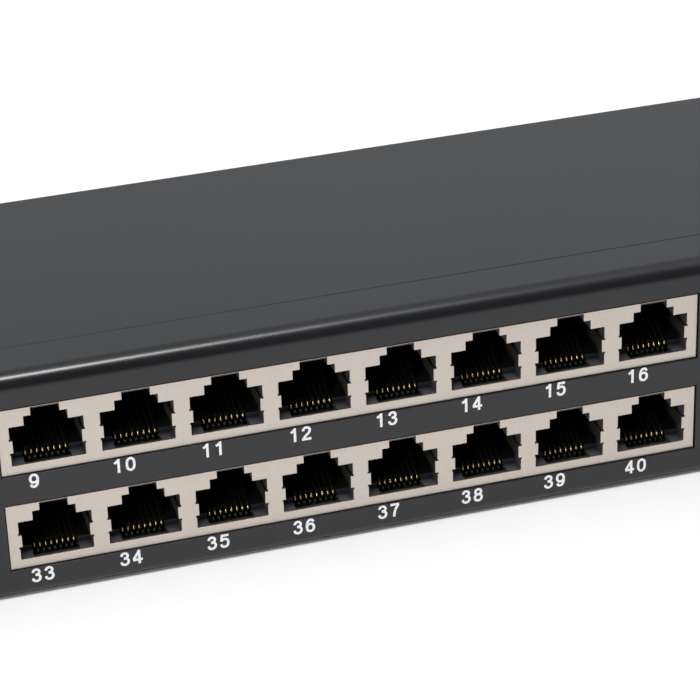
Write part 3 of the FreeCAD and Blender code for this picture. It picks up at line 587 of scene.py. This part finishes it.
for row in ROWS:
    for group in GROUPS:
        wires = bmesh.new()
        for index in range(PORTS):
            for contact in range(CONTACTS):
                x = port_x(group, index) + (contact - (CONTACTS - 1) / 2) * CONTACT_PITCH
                before = len(wires.verts)
                wires.from_mesh(wire_mesh)
                wires.verts.ensure_lookup_table()
                bmesh.ops.translate(wires, verts=wires.verts[before:], vec=(x, 0, ROWS[row]))
        # Gold on the top of the nose; the rest of each wire gets the nickel painted near black as shade.
        for face in wires.faces:
            middle = face.calc_center_median()
            face.material_index = 0 if middle.y < GOLD_REAR and middle.z > ROWS[row] + GOLD_LOW else 1
        bmesh.ops.scale(wires, verts=wires.verts, vec=(MM, MM, MM))
        piece = finished(f"contact_wires_{row}_{group}", wires, "chassis", gold, smooth=50)
        piece.data.materials.append(nickel_painted_as_shade)
        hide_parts(f"jack_contacts_{row}_{group}")

# ---- Circuit boards ----
# Glass-epoxy board, 1.6 mm thick, under green solder mask: copper tracks stand a little proud of
# it and look lighter, and the routed edges are bare yellowish laminate.
solder_mask, tree, shader, place = material("green_solder_mask")
turned = add(tree, "ShaderNodeMapping", {"Rotation": (0.0, 0.0, math.radians(90))}, {"Vector": place})
tracks = add(tree, "ShaderNodeTexBrick", {"Scale": 1.0, "Brick Width": 19.0 * MM, "Row Height": 1.6 * MM,
                                          "Mortar Size": 0.28 * MM, "offset": 0.37},
             {"Vector": turned.outputs[0]})
weave = noise(tree, place, 300.0, 3.0)
deep = ramp(tree, weave, [(0.3, "0d3a20"), (0.7, "124628")])
tree.links.new(blended(tree, tracks.outputs["Fac"], deep, "1f6a3b"), shader.inputs["Base Color"])
shader.inputs["Roughness"].default_value = 0.32
embossed(tree, shader, tracks.outputs["Fac"], 0.4, 0.04)

laminate, tree, shader, place = material("routed_glass_epoxy_edge")
plies = stretched(tree, place, (300.0, 300.0, 5500.0))
glass = noise(tree, plies, 1.0, 3.0)
coloured(tree, shader, glass, [(0.3, "8f8a55"), (0.7, "b5ae78")])
shader.inputs["Roughness"].default_value = 0.75

for row in ROWS:
    for group in GROUPS:
        board = edged(f"circuit_board_{row}_{group}", "chassis", 0.08, solder_mask, segments=1)
        board.data.materials.append(laminate)
        for face in board.data.polygons:
            face.material_index = 0 if abs(face.normal.z) > 0.5 else 1

# ---- Components on the boards ----
# Ceramic chip capacitors that tune the pairs of each port, 1.6 by 0.8 mm, between the socket
# and its block: a tan body with tinned ends.
ceramic, tree, shader, place = material("tan_ceramic_chip")
mottle = noise(tree, place, 2500.0, 3.0)
coloured(tree, shader, mottle, [(0.3, "8c6f4f"), (0.7, "a78a66")])
shader.inputs["Roughness"].default_value = 0.6

tin, tree, shader, place = material("bright_tin_plate")
flow = noise(tree, place, 1200.0, 3.0)
coloured(tree, shader, flow, [(0.3, "a9abad"), (0.7, "cfd1d2")])
shader.inputs["Metallic"].default_value = 1.0
roughened(tree, shader, flow, 0.25, 0.4)

BOARD_TOP = -1.81
CHIP_LINE = {"upper": 21.6, "lower": 26.5}
CHIP_PLACES, CHIP_HALF, CHIP_BODY, CHIP_HIGH = (-4.8, -2.4, 2.4, 4.8), 0.4, 1.0, 0.75
CAP_LONG, CAP_PROUD, CAP_HIGH = 0.3, 0.02, 0.78
for row in ROWS:
    chips = bmesh.new()
    for group, index in [(g, i) for g in GROUPS for i in range(PORTS)]:
        for shift in CHIP_PLACES:
            x, y = port_x(group, index) + shift, CHIP_LINE[row]
            slab(chips, (x - CHIP_HALF, x + CHIP_HALF), (y, y + CHIP_BODY),
                 (BOARD_TOP, BOARD_TOP + CHIP_HIGH))
            ends_from = len(chips.faces)
            for near in (y - CAP_LONG, y + CHIP_BODY):
                slab(chips, (x - CHIP_HALF - CAP_PROUD, x + CHIP_HALF + CAP_PROUD), (near, near + CAP_LONG),
                     (BOARD_TOP, BOARD_TOP + CAP_HIGH))
            chips.faces.ensure_lookup_table()
            for face in chips.faces[ends_from:]:
                face.material_index = 1
    piece = finished(f"tuning_capacitors_{row}", in_metres(chips, ROWS[row]), "chassis", ceramic)
    piece.data.materials.append(tin)

# ---- Punch-down blocks ----
# Off-white flame-retardant polycarbonate, one block to a port: two walls of slots for the wires,
# satin, slightly translucent, with faint flow marks and softly broken edges.
ivory, tree, shader, place = material("off_white_moulded_polycarbonate")
flow = noise(tree, place, 140.0, 4.0)
coloured(tree, shader, flow, [(0.3, "d3d0c6"), (0.7, "dfddd4")])
roughened(tree, shader, flow, 0.36, 0.48)
spark = noise(tree, place, 3200.0, 2.0)
embossed(tree, shader, spark, 0.12, 0.02)
for row in ROWS:
    for group in GROUPS:
        edged(f"idc_blocks_{row}_{group}", "chassis", 0.2, ivory)

# ---- Wire colour marks ----
# A paper strip glued in the channel of each block shows the colour of the wire for every slot:
# orange, green, blue and brown, each beside its white-striped partner.
printed, tree, shader, place = material("printed_colour_strip")
ink_colour = add(tree, "ShaderNodeVertexColor", {"layer_name": "ink"}).outputs["Color"]
fibre = noise(tree, place, 1800.0, 4.0)
soft = add(tree, "ShaderNodeMapRange", {"To Min": 0.8, "To Max": 1.0}, {"Value": fibre})
inked = add(tree, "ShaderNodeVectorMath", {"operation": "SCALE"}, {0: ink_colour, "Scale": soft.outputs[0]})
tree.links.new(inked.outputs[0], shader.inputs["Base Color"])
shader.inputs["Roughness"].default_value = 0.7

BLOCK_FRONT = {"upper": 26.2, "lower": 47.0}
BLOCK_DEPTH, BLOCK_WALL, BLOCK_BASE, BLADE_PITCH, BLADES = 13.4, 4.9, 4.0, 3.6, 4
WIRE_COLOURS, STRIPED_PARTNER = ["c8622a", "2f7d46", "2b5aa0", "6b4428"], "e4e2dc"
STRIP_Y = (BLOCK_WALL + 0.25, BLOCK_DEPTH / 2 + 0.05)
PATCH_LONG, PATCH_WIDE, PATCH_LOW, PATCH_HIGH = 1.7, 1.5, 0.01, 0.08


def blade_x(group, index, blade):
    """Middle of a wire slot in millimetres."""
    return port_x(group, index) + (blade - (BLADES - 1) / 2) * BLADE_PITCH


for row in ROWS:
    strips = bmesh.new()
    ink = strips.loops.layers.float_color.new("ink")
    low_z = BOARD_TOP + BLOCK_BASE
    for group, index in [(g, i) for g in GROUPS for i in range(PORTS)]:
        for wall, pair in [(w, p) for w in (0, 1) for p in range(BLADES)]:
            x = blade_x(group, index, pair)
            y = BLOCK_FRONT[row] + STRIP_Y[wall]
            first = WIRE_COLOURS[pair] if wall else STRIPED_PARTNER
            for half, code in enumerate((first, WIRE_COLOURS[pair])):
                since = len(strips.faces)
                slab(strips, (x - PATCH_LONG + half * PATCH_LONG, x + half * PATCH_LONG), (y, y + PATCH_WIDE),
                     (low_z + PATCH_LOW, low_z + PATCH_HIGH))
                strips.faces.ensure_lookup_table()
                for loop in [l for f in strips.faces[since:] for l in f.loops]:
                    loop[ink] = linear(code)
    finished(f"wire_colour_strips_{row}", in_metres(strips, ROWS[row]), "chassis", printed)

# ---- Punch-down blades ----
# Forked blades of tinned bronze, 0.4 mm thick, one in every wire slot: the two tines cut through
# a wire's insulation and grip its core. Their tops lead the wire in.
FORK = [(0.0, 0.0), (2.5, 0.0), (2.5, 5.1), (2.2, 5.4), (1.75, 4.5), (1.4, 4.1), (1.4, 1.0), (1.1, 1.0),
        (1.1, 4.1), (0.75, 4.5), (0.3, 5.4), (0.0, 5.1)]
FORK_DEPTHS, FORK_LOW, FORK_HALF = (1.2, BLOCK_DEPTH - 3.7), BOARD_TOP + BLOCK_BASE + 1, 0.2
for row in ROWS:
    for group in GROUPS:
        forks = bmesh.new()
        for index, blade, inset in [(i, k, d) for i in range(PORTS) for k in range(BLADES)
                                    for d in FORK_DEPTHS]:
            outline = [(BLOCK_FRONT[row] + inset + y, FORK_LOW + z) for y, z in FORK]
            prism(forks, outline, -FORK_HALF, FORK_HALF, blade_x(group, index, blade))
        piece = finished(f"blade_forks_{row}_{group}", in_metres(forks, ROWS[row]), "chassis", tin)
        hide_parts(f"idc_contacts_{row}_{group}")

# ---- Spacers and pillars ----
# Hexagonal brass bar, 5 mm across the flats, turned and threaded: fine lengthwise draw marks and
# a slightly darkened surface.
brass, tree, shader, place = material("drawn_brass_bar")
pulled = stretched(tree, place, (2400.0, 2400.0, 60.0))
drawn = noise(tree, pulled, 1.0, 3.0)
coloured(tree, shader, drawn, [(0.3, "a88443"), (0.7, "c9a763")])
shader.inputs["Metallic"].default_value = 1.0
roughened(tree, shader, drawn, 0.25, 0.42)
for name in ("board_spacers", "board_pillars"):
    edged(name, "chassis", 0.15, brass)

# ---- Board and comb screws ----
# Pan-head steel machine screws with a cross recess, zinc-plated and clear-passivated: a bluish
# bright skin with fine scuffs.
bright_zinc, tree, shader, place = material("clear_passivated_zinc")
scuff = noise(tree, place, 1600.0, 5.0, 0.7)
coloured(tree, shader, scuff, [(0.3, "a5a9ad"), (0.7, "c4c8cb")])
shader.inputs["Metallic"].default_value = 1.0
roughened(tree, shader, scuff, 0.22, 0.45)
for name, edge in (("board_screws_upper", 0.35), ("board_screws_lower", 0.35), ("comb_screws", 0.45)):
    edged(name, "chassis", edge, bright_zinc, segments=3)

# ---- Rear cable comb ----
# A folded strip of zinc-coated steel sheet with T-shaped lugs for cable ties: dull grey with the
# faint frosted patches of the zinc.
zinc_sheet, tree, shader, place = material("zinc_coated_steel_sheet")
frost = add(tree, "ShaderNodeTexVoronoi", {"Scale": 260.0}, {"Vector": place})
cloud = noise(tree, place, 90.0, 4.0)
patches = add(tree, "ShaderNodeMath", {"operation": "MULTIPLY_ADD", 1: 0.35},
              {0: frost.outputs["Color"], 2: cloud})
coloured(tree, shader, patches.outputs[0], [(0.35, "8d9092"), (0.95, "b1b4b5")])
shader.inputs["Metallic"].default_value = 0.9
roughened(tree, shader, patches.outputs[0], 0.34, 0.55)
edged("rear_cable_comb", "chassis", 0.15, zinc_sheet, segments=1)

# ---- Lid screws and side rivets ----
# Countersunk cross-recess screws in black zinc, and black-lacquered aluminium rivets with a low
# domed head: both are darker and a little glossier than the paint round them.
black_zinc, tree, shader, place = material("black_zinc_plate")
scuff = noise(tree, place, 1300.0, 5.0)
coloured(tree, shader, scuff, [(0.35, "232427"), (0.75, "3a3b3f")])
shader.inputs["Metallic"].default_value = 0.7
roughened(tree, shader, scuff, 0.28, 0.48)
for name in [f"lid_screw_{end}_{side}" for end in ("front", "rear") for side in ("left", "right")]:
    edged(name, name, 0.08, black_zinc, segments=2)
for side in ("left", "right"):
    edged(f"side_rivets_{side}", "chassis", 0.6, black_zinc, segments=4)

# ---- Earth terminal ----
# An M6 stud welded through the tray floor, with a flat zinc-plated washer and a brass nut. The
# thread is cut as closed rings at the pitch of the real one, 1 mm.
STUD_X, STUD_Y, STUD_LOW, STUD_HIGH, STUD_RADIUS = 190.0, 88.0, -21.8, -5.0, 2.95
THREAD_PITCH, THREAD_ROOT, PLAIN_FOOT, LEAD_IN, SPIN_STEPS = 1.0, 2.5, 2.0, 0.5, 32
level = STUD_LOW + PLAIN_FOOT
profile = [(0.0, STUD_LOW), (STUD_RADIUS, STUD_LOW), (STUD_RADIUS, level)]
while level + THREAD_PITCH < STUD_HIGH - LEAD_IN:
    profile += [(THREAD_ROOT, level + THREAD_PITCH / 2), (STUD_RADIUS, level + THREAD_PITCH)]
    level += THREAD_PITCH
profile += [(THREAD_ROOT, STUD_HIGH), (0.0, STUD_HIGH)]
stud = bmesh.new()
line = [stud.verts.new((r, 0, z)) for r, z in profile]
rim = [stud.edges.new(pair) for pair in zip(line, line[1:])]
bmesh.ops.spin(stud, geom=line + rim, cent=(0, 0, 0), axis=(0, 0, 1), angle=math.tau,
               steps=SPIN_STEPS)
bmesh.ops.remove_doubles(stud, verts=stud.verts, dist=0.001)
bmesh.ops.translate(stud, verts=stud.verts, vec=(STUD_X, STUD_Y, 0))
piece = finished("earth_stud_threaded", in_metres(stud), "chassis", bright_zinc, smooth=20)
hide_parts("earth_stud")
edged("earth_washer", "chassis", 0.2, bright_zinc)
edged("earth_nut", "earth_nut", 0.3, brass)
